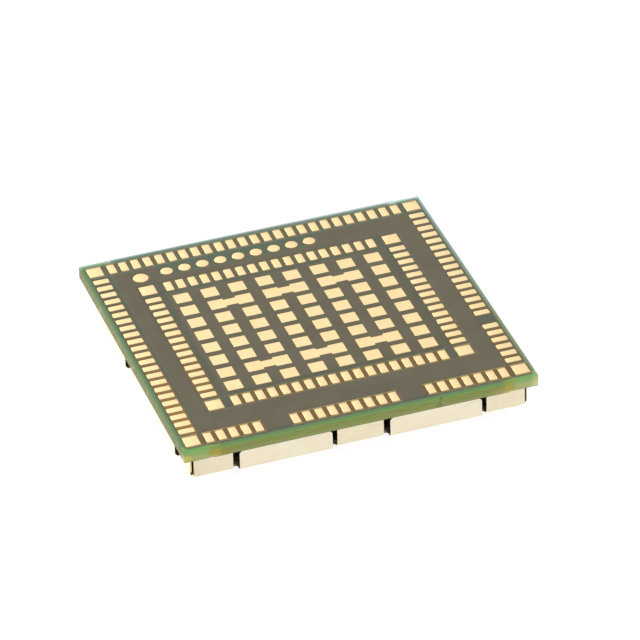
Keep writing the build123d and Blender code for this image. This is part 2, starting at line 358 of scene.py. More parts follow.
def islands(node):
    """Box of each separate solid of a CAD node, as ((x0, y0, z0), (x1, y1, z1))."""
    bm = bmesh.new()
    bm.from_mesh(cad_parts[node].data)
    bmesh.ops.remove_doubles(bm, verts=bm.verts, dist=MM * WELD)
    seen = set()
    boxes = []
    for first in bm.verts:
        if first in seen:
            continue
        stack, group = [first], []
        seen.add(first)
        while stack:
            v = stack.pop()
            group.append(v.co[:])
            for e in v.link_edges:
                w = e.other_vert(v)
                if w not in seen:
                    seen.add(w)
                    stack.append(w)
        co = np.array(group) / MM
        boxes.append((tuple(co.min(0)), tuple(co.max(0))))
    bm.free()
    return sorted(boxes)


def stacked(levels, verts, faces):
    """Adds one closed solid to a mesh: loops of equal length, one above the other."""
    start = len(verts)
    count = len(levels[0][0])
    for loop, z in levels:
        verts += [(x, y, z) for x, y in loop]
    for k in range(len(levels) - 1):
        a, b = start + k * count, start + (k + 1) * count
        faces += [(a + i, a + (i + 1) % count, b + (i + 1) % count, b + i) for i in range(count)]
    faces.append(tuple(start + i for i in reversed(range(count))))
    faces.append(tuple(start + (len(levels) - 1) * count + i for i in range(count)))


def triangulated(outline, holes, loops, lines=()):
    """Points, and triangles between an outline and its holes, with each edge of the loops and lines kept."""
    verts, edges, faces = [], [], []
    for loop in [outline] + holes:
        faces.append(list(range(len(verts), len(verts) + len(loop))))
        verts += loop
    for loop in loops:
        ids = list(range(len(verts), len(verts) + len(loop)))
        edges += list(zip(ids, ids[1:] + ids[:1]))
        verts += loop
    for line in lines:
        edges.append((len(verts), len(verts) + 1))
        verts += line
    flat = [Vector(v) for v in verts]
    points, _, triangles, _, _, holders = delaunay_2d_cdt(flat, edges, faces, 0, MERGE, True)
    return [tuple(p) for p in points], [t for t, held_by in zip(triangles, holders) if list(held_by) == [0]]


def rim_of(triangles):
    """Directed edges that only one triangle uses."""
    used = {}
    for t in triangles:
        for a, b in ((t[0], t[1]), (t[1], t[2]), (t[2], t[0])):
            used[(a, b)] = True
    return [(a, b) for a, b in used if (b, a) not in used]


def two_sided(triangles, top, bottom):
    """Closes a triangulated patch into a solid from its upper and lower points."""
    used = sorted({v for t in triangles for v in t})
    at = {v: k for k, v in enumerate(used)}
    verts = [top[v] for v in used] + [bottom[v] for v in used]
    count = len(used)
    faces = [tuple(at[v] for v in t) for t in triangles]
    faces += [tuple(at[v] + count for v in reversed(t)) for t in triangles]
    faces += [(at[b], at[a], at[a] + count, at[b] + count) for a, b in rim_of(triangles)]
    return verts, faces, used


# Materials

def linear(r, g, b):
    """A colour written as 0 to 255 screen values."""
    out = []
    for c in (r, g, b):
        c /= 255
        out.append(c / 12.92 if c <= 0.04045 else ((c + 0.055) / 1.055) ** 2.4)
    return (*out, 1.0)


class Shader:
    """A few short calls for writing a node tree."""

    def __init__(self, name, **values):
        self.material = bpy.data.materials.new(name)
        self.material.use_nodes = True
        self.tree = self.material.node_tree
        self.principled = self.tree.nodes["Principled BSDF"]
        for key, value in values.items():
            self.principled.inputs[key.replace("_", " ").title().replace("Ior", "IOR")].default_value = value

    def node(self, kind, inputs=None, **settings):
        n = self.tree.nodes.new(kind)
        for key, value in settings.items():
            setattr(n, key, value)
        for key, value in (inputs or {}).items():
            self.put(n.inputs[key], value)
        return n

    def put(self, socket, value):
        if isinstance(value, bpy.types.NodeSocket):
            self.tree.links.new(value, socket)
        else:
            socket.default_value = value

    def math(self, operation, *values, clamp=False):
        n = self.node("ShaderNodeMath", operation=operation, use_clamp=clamp)
        for socket, value in zip(n.inputs, values):
            self.put(socket, value)
        return n.outputs[0]

    def size(self, value):
        return self.math("ABSOLUTE", value)

    def plus(self, a, b):
        return self.math("ADD", a, b)

    def minus(self, a, b):
        return self.math("SUBTRACT", a, b)

    def times(self, a, b):
        return self.math("MULTIPLY", a, b)

    def highest(self, a, b):
        return self.math("MAXIMUM", a, b)

    def place(self, scale=(1, 1, 1)):
        """Object coordinates in millimetres, stretched."""
        at = self.node("ShaderNodeTexCoord").outputs["Object"]
        return self.node("ShaderNodeMapping", {"Vector": at, "Scale": [s / MM for s in scale]}).outputs[0]

    def xyz(self):
        return self.node("ShaderNodeSeparateXYZ", {0: self.place()}).outputs

    def noise(self, scale, detail, stretch=(1, 1, 1)):
        inputs = {"Vector": self.place(stretch), "Scale": scale, "Detail": detail}
        return self.node("ShaderNodeTexNoise", inputs).outputs[0]

    def ramp(self, value, low, high, start=0.0, end=1.0):
        """A smooth change from start to end while a value goes from low to high."""
        inputs = {"Value": value, "From Min": low, "From Max": high, "To Min": start, "To Max": end}
        return self.node("ShaderNodeMapRange", inputs, interpolation_type="SMOOTHSTEP").outputs[0]

    def near(self, value, place, reach, close, start=0.0, end=1.0):
        """A smooth change from start to end while a value comes near a place."""
        return self.ramp(self.size(self.minus(value, place)), reach, close, start, end)

    def mix(self, factor, a, b):
        n = self.node("ShaderNodeMix", data_type="RGBA")
        self.put(n.inputs[0], factor)
        self.put(n.inputs[6], a)
        self.put(n.inputs[7], b)
        return n.outputs[2]

    def attribute(self, name):
        return self.node("ShaderNodeAttribute", attribute_name=name).outputs["Fac"]

    def bump(self, height, distance):
        """Surface relief, its height in millimetres."""
        inputs = {"Height": height, "Distance": distance * MM}
        self.set("Normal", self.node("ShaderNodeBump", inputs).outputs[0])

    def set(self, key, value):
        self.put(self.principled.inputs[key], value)


def mask_tones(s, x, y):
    """Green over bare laminate, where the glass cloth shows faintly, and grey-brown over copper."""
    off_copper = s.mix(s.ramp(s.noise(0.9, 2), 0.35, 0.65), linear(82, 88, 69), linear(88, 94, 76))
    over_copper = s.mix(s.ramp(s.noise(0.5, 3), 0.3, 0.7), linear(99, 91, 70), linear(104, 97, 76))
    rate_x, rate_y = WEAVE_RATE
    weave = s.times(s.math("SINE", s.times(x, rate_x)), s.math("SINE", s.times(y, rate_y)))
    off_copper = s.mix(s.ramp(weave, -0.2, 0.9, 0.0, 0.25), off_copper, linear(88, 100, 76))
    grid_x, grid_y = GRID_ZONE
    past_grid = s.highest(s.minus(s.size(x), grid_x), s.minus(s.size(y), grid_y))
    off_copper = s.mix(s.ramp(past_grid, *GRID_FADE), off_copper, linear(98, 92, 70))
    off_copper = s.mix(s.ramp(y, *GREEN_BAND), off_copper, linear(83, 99, 79))
    return s.mix(s.attribute("tone"), off_copper, over_copper)


def far_strip(s, x, y):
    """How deep a point lies in the lit strip along the far edge, which is a little wider at the corners."""
    across = s.size(x)
    right = s.ramp(x, *LEFT_TO_RIGHT)
    notch = s.times(s.near(across, FAR_NOTCH_X, *FAR_NOTCH_REACH), s.ramp(right, 0.0, 1.0, 0.04, 0.08))
    step = s.times(s.ramp(across, *FAR_STEP), s.ramp(right, 0.0, 1.0, 0.1, 0.06))
    widened = s.plus(s.plus(step, notch), s.ramp(x, *FAR_WIDENING, -0.015, 0.04))
    return s.math("DIVIDE", s.minus(s.plus(y, widened), FAR_STRIP), FAR_STRIP_WIDTH, clamp=True)


def margin_share(s, x, y, strip):
    """1 in the margin outside the lands and 0 inside it."""
    across = s.size(x)
    side = s.ramp(across, MARGIN_INNER_X, MARGIN_OUTER_X)
    shift = s.times(s.ramp(across, *CORNER_FADE), MARGIN_CORNER_SHIFT)
    front = s.ramp(s.minus(y, shift), -MARGIN_INNER_Y, -MARGIN_OUTER_Y)
    return s.highest(s.highest(side, front), s.math("POWER", strip, 1.6))


def margin_colour(s, x, y, strip):
    """Bright green at the sawn edges, amber near the break-off points, and a pale painted highlight along the
    far and right edges.
    """
    across = s.size(x)
    right = s.ramp(x, *LEFT_TO_RIGHT)
    near = s.ramp(y, *NEAR_EDGE)
    colour = s.mix(s.ramp(y, *MARGIN_NEAR_TO_FAR), linear(134, 150, 104), linear(142, 168, 156))
    colour = s.mix(s.ramp(x, *RIGHT_EDGE), linear(102, 140, 88), colour)
    colour = s.mix(s.times(s.ramp(across, *CORNER_FADE), near), colour, linear(118, 172, 90))
    amber = s.near(across, BREAK_OFF_X, *BREAK_OFF_REACH, 0.0, 0.55)
    colour = s.mix(s.times(amber, near), colour, linear(158, 172, 62))
    tip = s.times(s.ramp(x, *RIGHT_TIP, 0.0, 0.75), near)
    colour = s.mix(tip, colour, linear(152, 190, 124))
    # Painted highlight along the far edge, greener at the left corner and bluer at the right.
    at_corner = s.ramp(across, *FAR_CORNER)
    corner_low = s.mix(right, linear(118, 166, 106), linear(118, 170, 134))
    corner_high = s.mix(right, linear(174, 206, 180), linear(204, 232, 224))
    low = s.mix(at_corner, linear(98, 144, 122), corner_low)
    high = s.mix(at_corner, linear(200, 216, 212), corner_high)
    sheen = s.mix(s.math("POWER", strip, 3.0), low, high)
    colour = s.mix(s.ramp(y, *FAR_EDGE), colour, sheen)
    # Painted highlight: a pale line at the outermost right edge, stronger towards the far end.
    right_edge_highlight = s.times(s.ramp(x, *RIGHT_HIGHLIGHT), s.ramp(y, *RIGHT_HIGHLIGHT_ALONG, 0.0, 0.5))
    return s.mix(right_edge_highlight, colour, linear(235, 242, 240))


def rim_share(s, x, y):
    """How brown a window's rim is: most in the near row, and not at all in the margin."""
    rim = s.math("POWER", s.attribute("rim"), s.ramp(y, *NEAR_ROW, 2.0, 0.9))
    outer, inner = RIM_END
    to_side = s.ramp(s.size(x), MARGIN_INNER_X + outer, MARGIN_INNER_X + inner)
    to_end = s.ramp(s.size(y), MARGIN_INNER_Y + outer, MARGIN_INNER_Y + inner)
    return s.times(rim, s.math("MINIMUM", to_side, to_end))


def rim_colour(s, x, y, far):
    """Brown of the windows' rims in the rows, in the left columns and in the right columns."""
    brown = s.mix(far, linear(120, 93, 41), linear(101, 100, 72))
    left_brown = s.mix(far, linear(158, 118, 50), linear(99, 92, 71))
    right_brown = s.mix(far, linear(122, 99, 60), linear(106, 99, 83))
    column = s.ramp(s.size(y), *COLUMN_END)
    brown = s.mix(s.times(column, s.ramp(x, *LEFT_COLUMNS)), brown, left_brown)
    return s.mix(s.times(column, s.ramp(x, *RIGHT_COLUMNS)), brown, right_brown)


def mask_material():
    """Solder mask: its own tones, the margin, the windows' rims, the lands' light and a few pale specks."""
    s = Shader("solder_mask_film", roughness=0.45, specular_ior_level=0.25)
    x, y, _ = s.xyz()
    far = s.ramp(y, *NEAR_TO_FAR)
    strip = far_strip(s, x, y)
    colour = s.mix(margin_share(s, x, y, strip), mask_tones(s, x, y), margin_colour(s, x, y, strip))
    colour = s.mix(rim_share(s, x, y), colour, rim_colour(s, x, y, far))
    glint = s.math("POWER", s.attribute("glint"), 2.0)
    colour = s.mix(glint, colour, s.mix(far, linear(192, 164, 106), linear(180, 166, 136)))
    speck = s.ramp(s.noise(9.0, 1), 0.72, 0.8, 0.0, 0.35)
    s.set("Base Color", s.mix(speck, colour, linear(130, 126, 108)))
    s.bump(s.plus(s.noise(14.0, 2), s.noise(3.0, 2)), 0.003)
    return s.material


def gold_material():
    """Immersion gold over nickel: matt and fine grained, less bright where the nickel is coarser."""
    s = Shader("gold_plate", metallic=1.0, roughness=0.45)
    bright = linear(246, 222, 170)
    coarse = tuple(c * share for c, share in zip(bright, (0.985, 0.965, 0.92, 1)))
    cloud = s.ramp(s.noise(1.1, 3), 0.3, 0.7)
    grain = s.ramp(s.noise(26.0, 2), 0.3, 0.7)
    s.set("Base Color", s.mix(s.times(grain, 0.35), s.mix(cloud, bright, coarse), linear(250, 228, 184)))
    s.bump(s.plus(s.noise(30.0, 3), s.noise(7.0, 2)), 0.002)
    return s.material


def corner_epoxy(s, x, z):
    """Paler epoxy at the board's corners, yellow at their low ends."""
    pale = s.mix(s.ramp(z, *CORNER_DOWN), linear(150, 186, 112), linear(186, 193, 122))
    pale = s.mix(s.ramp(x, *CORNER_RIGHT, 0.0, 0.35), pale, linear(206, 214, 146))
    tip = s.times(s.ramp(s.size(x), *YELLOW_TIP), s.ramp(z, *YELLOW_TIP_DOWN))
    return s.mix(tip, pale, linear(214, 212, 104))


def with_break_off(s, colour, x, z, wander, long_side, column):
    """Adds the amber spot, the haze beside it and the pale foot at each break-off point."""
    across = s.size(x)
    right = s.ramp(x, 0.0, 1.0)
    haze = s.times(s.near(across, HAZE_X, *HAZE_REACH), long_side)
    haze = s.times(haze, s.ramp(z, *HAZE_DOWN, 0.0, 0.6))
    colour = s.mix(haze, colour, s.mix(right, linear(164, 152, 52), linear(186, 174, 104)))
    off_x = s.minus(s.plus(across, s.times(wander, 0.3)), AMBER_X)
    off_z = s.times(s.minus(z, AMBER_Z), AMBER_FLATNESS)
    away = s.math("SQRT", s.plus(s.times(off_x, off_x), s.times(off_z, off_z)))
    spot = s.times(s.times(s.ramp(away, *AMBER_REACH), long_side), 0.95)
    colour = s.mix(spot, colour, s.mix(right, linear(198, 180, 43), linear(204, 186, 84)))
    colour = s.mix(s.times(column, 0.6), colour, linear(180, 168, 72))
    return s.mix(s.times(column, s.ramp(z, *FOOT_DOWN, 0.0, 0.8)), colour, linear(212, 200, 140))


def left_epoxy(s, y, z, flecks):
    """A darker, browner tone for the left side face, with a pale low end at the near corner."""
    left = s.mix(s.ramp(z, *LEFT_DOWN), linear(86, 103, 54), linear(94, 103, 54))
    left = s.mix(s.ramp(z, *LEFT_LOW_DOWN), left, linear(113, 107, 70))
    left = s.mix(s.ramp(flecks, 0.4, 0.7, 0.0, 0.3), left, linear(112, 114, 72))
    near_end = s.times(s.ramp(y, *LEFT_NEAR_END), s.ramp(z, *LEFT_NEAR_END_DOWN))
    return s.mix(near_end, left, linear(178, 160, 106))


def laminate_material():
    """Glass cloth in epoxy: olive and finely layered at the sawn sides, brighter at the corners."""
    s = Shader("glass_epoxy", roughness=0.55, specular_ior_level=0.4)
    x, y, z = s.xyz()
    across = s.size(x)
    layers = s.noise(1.0, 4, (0.7, 0.7, 16.0))
    flecks = s.noise(1.0, 3, (5.0, 5.0, 22.0))
    colour = s.mix(s.ramp(layers, 0.3, 0.7), linear(134, 148, 74), linear(152, 162, 88))
    colour = s.mix(s.ramp(flecks, 0.5, 0.8, 0.0, 0.5), colour, linear(172, 176, 108))
    colour = s.mix(s.ramp(z, *PALE_LAYERS_DOWN, 0.0, 0.6), colour, linear(164, 174, 112))
    corner = s.ramp(across, *CORNER_EPOXY)
    colour = s.mix(s.times(corner, 0.9), colour, corner_epoxy(s, x, z))
    wander = s.minus(s.noise(1.3, 2), 0.5)
    long_side = s.ramp(s.size(y), *LONG_SIDE)
    column = s.times(s.near(across, BREAK_OFF_X, *BREAK_OFF_REACH), long_side)
    colour = with_break_off(s, colour, x, z, wander, long_side, column)
    rise = s.plus(z, s.plus(s.times(wander, 0.15), s.times(corner, 0.1)))
    green = s.times(s.ramp(rise, *GREEN_UP), s.ramp(column, 0.0, 1.0, 0.85, 0.35))
    colour = s.mix(green, colour, s.mix(corner, linear(124, 176, 97), linear(144, 192, 110)))
    pale_tip = s.mix(s.ramp(z, *PALE_TIP_DOWN), linear(208, 214, 140), linear(236, 234, 190))
    colour = s.mix(s.ramp(x, *PALE_TIP, 0.0, 0.75), colour, pale_tip)
    stain = s.times(s.near(x, STAIN_X, *STAIN_REACH), 0.4)
    stain = s.times(stain, s.ramp(s.noise(2.6, 3), 0.45, 0.6))
    colour = s.mix(stain, colour, linear(84, 84, 56))
    colour = s.mix(s.ramp(x, *LEFT_FACE), colour, left_epoxy(s, y, z, flecks))
    s.set("Base Color", s.mix(s.ramp(z, *TOP_LAYER_UP), colour, linear(140, 100, 48)))
    s.bump(s.plus(s.noise(1.0, 3, (6.0, 6.0, 30.0)), s.noise(9.0, 2)), 0.006)
    return s.material


def shaded_cut_ends(s, x, y, z):
    """Share and tone of a sheet's bare cut ends, painted dark brown as shade, warm and low at the near left
    corner.
    """
    near_end = s.ramp(y, *CUT_NEAR_END)
    low = s.highest(s.ramp(z, *CUT_LOW_DOWN), s.minus(1.0, near_end))
    share = s.times(s.attribute("raw_cut_shade"), s.highest(s.ramp(x, *CUT_LEFT_WALL), low))
    dark = s.mix(s.ramp(x, *CUT_DARK), linear(52, 36, 20), linear(78, 54, 30))
    warm = s.mix(s.ramp(z, *CUT_WARM_UP), linear(118, 78, 24), linear(200, 150, 90))
    return share, s.mix(s.times(near_end, s.ramp(x, *CUT_WARM)), dark, warm)


def sheet_material(name, dull, bright):
    """Tinned sheet: a soft sheen, fine rolling lines, a few faint rubs, and painted shade on its bare cut
    ends.
    """
    s = Shader(name, metallic=1.0, roughness=0.48)
    cloud = s.ramp(s.noise(0.7, 3), 0.3, 0.7)
    lines = s.noise(1.0, 3, (1.2, 1.2, 34.0))
    colour = s.mix(cloud, linear(*dull), linear(*bright))
    colour = s.mix(s.ramp(lines, 0.35, 0.7, 0.0, 0.4), colour, linear(*(c - 12 for c in dull)))
    rub = s.ramp(s.noise(1.0, 3, (0.5, 0.5, 9.0)), 0.62, 0.72, 0.0, 0.35)
    colour = s.mix(rub, colour, linear(*(c - 30 for c in dull)))
    # Painted shade: the cut ends are dark brown like the shade in the slots and in the gap at the near left
    # corner.
    share, bare = shaded_cut_ends(s, *s.xyz())
    s.set("Base Color", s.mix(share, colour, bare))
    s.bump(s.plus(lines, s.noise(12.0, 2)), 0.002)
    return s.material


def plain_material(name, dark, light, roughness, scale, metallic=0.0):
    """A moulded, ceramic or plated surface: two close tones and a fine grain."""
    s = Shader(name, metallic=metallic, roughness=roughness)
    s.set("Base Color", s.mix(s.ramp(s.noise(scale, 3), 0.35, 0.65), linear(*dark), linear(*light)))
    s.bump(s.noise(scale * 6, 3), 0.003)
    return s.material


# Land face

def land_outline(low, high, corner, clearance=0.0):
    """Outline of a land from its box, round where it has no corner radius, with a clearance round it."""
    (x0, y0, _), (x1, y1, _) = low, high
    if corner is None:
        return circle((x0 + x1) / 2, (y0 + y1) / 2, (x1 - x0 + y1 - y0) / 4 + clearance)
    return grown(filleted(rectangle(x0, y0, x1, y1), corner), clearance)


def lands(node, corner, material):
    """Plated lands of one node: rounded corners, upright sides and a softly turned top edge."""
    verts, faces = [], []
    for low, high in islands(node):
        loop = land_outline(low, high, corner)
        levels = [(loop, low[2])] + [(grown(loop, -inset), high[2] - drop) for inset, drop in LAND_EDGE]
        stacked(levels, verts, faces)
    piece(node + "_plated", verts, faces, material, [node], smooth=50)


def land_windows():
    """Windows round the separate lands, a little larger than each."""
    return [land_outline(low, high, corner, WINDOW_CLEARANCE)
            for node, corner in LAND_CORNERS.items() for low, high in islands(node)]


def ground_windows():
    """Windows over the ground plane, with the inner ones of two rows joined in pairs."""
    loops = []
    half = GROUND_WINDOW / 2
    waist = GROUND_BRIDGE / 2
    shift_x, shift_y = MASK_SHIFT
    for r in range(GROUND_COUNT):
        y = (r - (GROUND_COUNT - 1) / 2) * GROUND_PITCH_Y
        c = 0
        while c < GROUND_COUNT:
            x = (c - (GROUND_COUNT - 1) / 2) * GROUND_PITCH_X
            points = rectangle(x - half, y - half, x + half, y + half)
            if r in (1, GROUND_COUNT - 2) and c % 2 == 1 and c + 2 < GROUND_COUNT:
                x2 = x + GROUND_PITCH_X
                bridge = rectangle(x + half, y - waist, x2 - half, y + waist)
                partner = rectangle(x2 - half, y - half, x2 + half, y + half)
                points = points[:2] + bridge[:2] + partner + bridge[2:] + points[2:]
                c += 1
            loops.append(filleted([(px + shift_x, py + shift_y) for px, py in points], GROUND_ROUND))
            c += 1
    return loops


def pour_edges():
    """Edges of the copper under the mask, each with 1 for copper inside it and -1 for copper outside."""
    outer = [(POUR_LEFT, POUR_NEAR)]
    for x0, x1 in TONGUES:
        outer += [(x0, POUR_NEAR), (x0, TONGUE_END), (x1, TONGUE_END), (x1, POUR_NEAR)]
    band_low, band_high = TEST_BAND
    outer += [(POUR_RIGHT, POUR_NEAR), (POUR_RIGHT, POUR_FAR)]
    outer += [(band_high, POUR_FAR), (band_high, TEST_BAND_BASE)]
    outer += [(band_low, TEST_BAND_BASE), (band_low, POUR_FAR), (POUR_LEFT, POUR_FAR)]
    inner = rectangle(-POUR_INSIDE_X, -POUR_INSIDE_Y, POUR_INSIDE_X, POUR_INSIDE_Y)
    low, high = islands("pin_one_land")[0]
    pin_one = land_outline(low, high, None, PIN_ONE_CLEAR)
    half_x = (GROUND_COUNT - 1) / 2 * GROUND_PITCH_X + GROUND_LAND / 2 + GROUND_BORDER
    half_y = (GROUND_COUNT - 1) / 2 * GROUND_PITCH_Y + GROUND_LAND / 2 + GROUND_BORDER
    plane = filleted(rectangle(-half_x, -half_y, half_x, half_y), PLANE_ROUND)
    return [(filleted(outer, POUR_ROUND), 1), (filleted(inner, INSIDE_ROUND), -1), (pin_one, -1), (plane, 1)]


def rim_tone(points, windows):
    """1 at the rim of a window and right across a narrow gap between two, 0 at a lone window's halo line."""
    p = np.array(points)
    total = np.zeros(len(p))
    for loop in windows:
        a = np.array(loop)
        close = np.flatnonzero(((p > a.min(0) - WINDOW_FADE) & (p < a.max(0) + WINDOW_FADE)).all(1))
        total[close] += (1 - distances(p[close], [loop]) / WINDOW_FADE).clip(0, 1)
    at_halo = 1 - WINDOW_HALO / WINDOW_FADE
    return ((total - at_halo) / (1 - at_halo)).clip(0, 1)


def end_glint(points):
    """Root of the light from the plated ends of lands. Those that lie across, in the columns, have none."""
    p = np.array(points)
    glint = np.zeros(len(p))
    for node, (near_row, far_row) in END_GLINT.items():
        for (x0, y0, _), (x1, y1, _) in islands(node):
            if x1 - x0 > y1 - y0 + SQUARE_WITHIN:
                continue
            beside = np.maximum(x0 - p[:, 0], p[:, 0] - x1)
            beyond = np.maximum(y0 - p[:, 1], p[:, 1] - y1)
            fade = 1 - (beyond - WINDOW_CLEARANCE - WINDOW_RIM) / (WINDOW_HALO - WINDOW_RIM)
            end = np.where(p[:, 1] > y1, 1.0, NEAR_END_GLINT)
            value = (near_row if y1 < 0 else far_row) * end * fade.clip(0, 1)
            glint = np.where((beyond > 0) & (beyond > beside), np.maximum(glint, value), glint)
    return glint


def land_side_mask(material):
    """The mask film: it rises over the copper and thins at the rim of each window."""
    windows = land_windows() + ground_windows()
    pour = pour_edges()
    edges = [loop for loop, _ in pour]
    loops = [grown(loop, step) for loop in windows for step in (WINDOW_RIM, WINDOW_HALO)]
    loops += edges + [grown(loop, POUR_SLOPE * side) for loop, side in pour]
    points, triangles = triangulated(board_outline(), windows, loops)
    in_outer, in_inner, in_pin_one, in_plane = (within(points, loop) for loop in edges)
    copper = in_outer & ~in_inner & ~in_pin_one | in_plane
    tone = np.maximum(copper, 1 - distances(points, edges) / POUR_SLOPE).clip(0, 1)
    top = MASK_TOP_OFF_COPPER + tone * (MASK_TOP - MASK_TOP_OFF_COPPER)
    top -= RIM_DROP * (1 - distances(points, windows) / WINDOW_RIM).clip(0, 1)
    base = LAMINATE_TOP + tone * (COPPER_TOP - LAMINATE_TOP)
    upper = [(x, y, z) for (x, y), z in zip(points, top)]
    lower = [(x, y, z) for (x, y), z in zip(points, base)]
    verts, faces, used = two_sided(triangles, upper, lower)
    values = {"tone": tone, "rim": rim_tone(points, windows), "glint": end_glint(points)}
    attributes = {key: list(value[used]) * 2 for key, value in values.items()}
    piece("land_side_mask_film", verts, faces, material, ["land_side_mask"], attributes,
          smooth=4)


def laminate(material):
    """The board's core, with sawn sides that wander a little from layer to layer."""
    outline = board_outline()
    inset = grown(outline, -LAYER_INSET)
    draw = random.Random(LAYER_SEED)
    levels = [(outline, LAMINATE_BASE)]
    for k in range(1, LAYERS):
        loop = []
        for x, y in inset:
            shrink = 1 - LAYER_WANDER * draw.random()
            loop.append((x * shrink, y * shrink))
        levels.append((loop, LAMINATE_BASE + (LAMINATE_TOP - LAMINATE_BASE) * k / LAYERS))
    levels.append((outline, LAMINATE_TOP))
    verts, faces = [], []
    stacked(levels, verts, faces)
    piece("board_core", verts, faces, material, ["circuit_board"])


# Shield

def side_plan():
    """For each side: its turn, fold line, half length, and the start and end of the gap between its walls."""
    plans = []
    for turn in (0, 90, 180, 270):
        k = turn // 90 % 2
        fold, half = FRAME_FOLD[k], FRAME_FOLD[1 - k]
        plans.append((turn, fold, half, CENTRE_PANEL[k] / 2, half - CORNER_PANEL[k]))
    return plans


def mirrored(path):
    """A path along one side, from its middle to its end, with the same behind it turned round."""
    return [(s, -u) for s, u in reversed(path)] + path


def lid_pattern():
    """Flat outline of the lid: two tabs on each side, with a slit that ends round beside each."""
    loop = []
    r = SLOT_WIDTH / 2
    arc = [math.pi * k / ARC_STEPS for k in range(ARC_STEPS + 1)]
    for turn, fold, half, gap_low, gap_high in side_plan():
        tip = fold - SLOT_DEPTH + r
        end = fold + LID_OUTSET + LID_BEND * math.pi / 2 + TAB_TOP - LID_BEND
        low, high = gap_low + SLOT_WIDTH, gap_high - SLOT_WIDTH
        path = [(fold, gap_low)]
        path += [(tip - r * math.sin(a), gap_low + r - r * math.cos(a)) for a in arc]
        corner = [(end - TAB_ROUND * (1 - math.sin(a / 2)), low + TAB_ROUND * (1 - math.cos(a / 2)))
                  for a in arc[::2]]
        path += corner
        path += [(s, low + high - u) for s, u in reversed(corner)]
        path += [(tip - r * math.sin(a), gap_high - r - r * math.cos(a)) for a in arc]
        path += [(fold, gap_high), (fold, half - CORNER_RELIEF)]
        loop += turned(mirrored(path), turn)
    return loop


def frame_pattern():
    """Flat outline of the frame: a centre wall and two corner walls on each side."""
    loop = []
    for turn, fold, half, gap_low, gap_high in side_plan():
        end = fold + FRAME_BEND * math.pi / 2 + BOARD_BASE - FRAME_BASE - FRAME_BEND
        back = fold - FRAME_SETBACK
        path = [(end, gap_low), (back, gap_low), (back, gap_high), (end, gap_high), (end, half)]
        path.append((fold + CORNER_RELIEF, half))
        side = mirrored(path)
        for k in range(1, ARC_STEPS):
            a = -1.5 * math.pi * k / ARC_STEPS
            side.append((fold + CORNER_RELIEF * math.cos(a), half + CORNER_RELIEF * math.sin(a)))
        loop += turned(side, turn)
    return loop


def folded_sheet(name, node, outline, holes, outset, bend, base, spans, material):
    """A sheet cut to a flat outline and folded up along each side, with its cut edges broken."""
    reach = bend * math.pi / 2
    broken = [grown(outline, -CUT_EDGE)] + [grown(hole, CUT_EDGE) for hole in holes]
    lines = []
    for (turn, fold, *_), ends in zip(side_plan(), spans):
        for low, high in ends:
            for k in range(BEND_STEPS + 1):
                s = fold + outset + reach * k / BEND_STEPS
                lines.append(turned([(s, low - BEND_OVERRUN), (s, high + BEND_OVERRUN)], turn))
    points, triangles = triangulated(outline, holes, broken, lines)
    p = np.array(points)
    rim = np.full(len(p), np.inf)
    for loop in [outline] + holes:
        a = np.array(loop)
        for start, step in zip(a, np.roll(a, -1, 0) - a):
            t = np.clip(((p - start) @ step) / (step @ step), 0, 1)
            rim = np.minimum(rim, np.linalg.norm(p - start - t[:, None] * step, axis=1))
    cut = np.where(rim < CUT_EDGE / 4, CUT_EDGE, 0.0)

    def bent(x, y, depth):
        over_x = abs(x) - FRAME_FOLD[0] - outset
        over_y = abs(y) - FRAME_FOLD[1] - outset
        over = max(over_x, over_y)
        if over <= 0:
            return x, y, base + depth
        angle = min(over / reach, 1) * math.pi / 2
        out = (bend - depth) * math.sin(angle)
        z = base + bend - (bend - depth) * math.cos(angle) + max(0, over - reach)
        if over_x > over_y:
            return math.copysign(FRAME_FOLD[0] + outset + out, x), y, z
        return x, math.copysign(FRAME_FOLD[1] + outset + out, y), z

    outside = [bent(x, y, c) for (x, y), c in zip(points, cut)]
    inside = [bent(x, y, SHEET - c) for (x, y), c in zip(points, cut)]
    verts, faces, used = two_sided(triangles, inside, outside)
    # Cut faces away from the folds take the painted shade of the cut ends.
    raw_cut_shade = [0] * (2 * len(triangles))
    for face in faces[2 * len(triangles):]:
        past_fold = (np.abs(p[[used[v] for v in face[:2]]]) - FRAME_FOLD).max(1)
        raw_cut_shade.append(int(np.abs(past_fold).max() > ON_FOLD))
    piece(name, verts, faces, material, [node], smooth=28, face_values={"raw_cut_shade": raw_cut_shade})


def shield(lid_material, frame_material):
    """The lid over the frame, with lid tabs where the frame's walls leave the sides open."""
    lid_spans, frame_spans = [], []
    for _, _, half, gap_low, gap_high in side_plan():
        low, high = gap_low + SLOT_WIDTH, gap_high - SLOT_WIDTH
        lid_spans.append([(low, high), (-high, -low)])
        frame_spans.append([(-gap_low, gap_low), (gap_high, half), (-half, -gap_high)])
    folded_sheet("shield_lid_sheet", "shield_lid", lid_pattern(), [],
                 LID_OUTSET, LID_BEND, 0, lid_spans, lid_material)
    x, y = (fold - FRAME_FLANGE for fold in FRAME_FOLD)
    hole = filleted(rectangle(-x, -y, x, y), FRAME_HOLE_ROUND)
    folded_sheet("shield_frame_sheet", "shield_frame", frame_pattern(), [hole],
                 0, FRAME_BEND, FRAME_BASE, frame_spans, frame_material)


# Nodes that keep the form they have in the frame

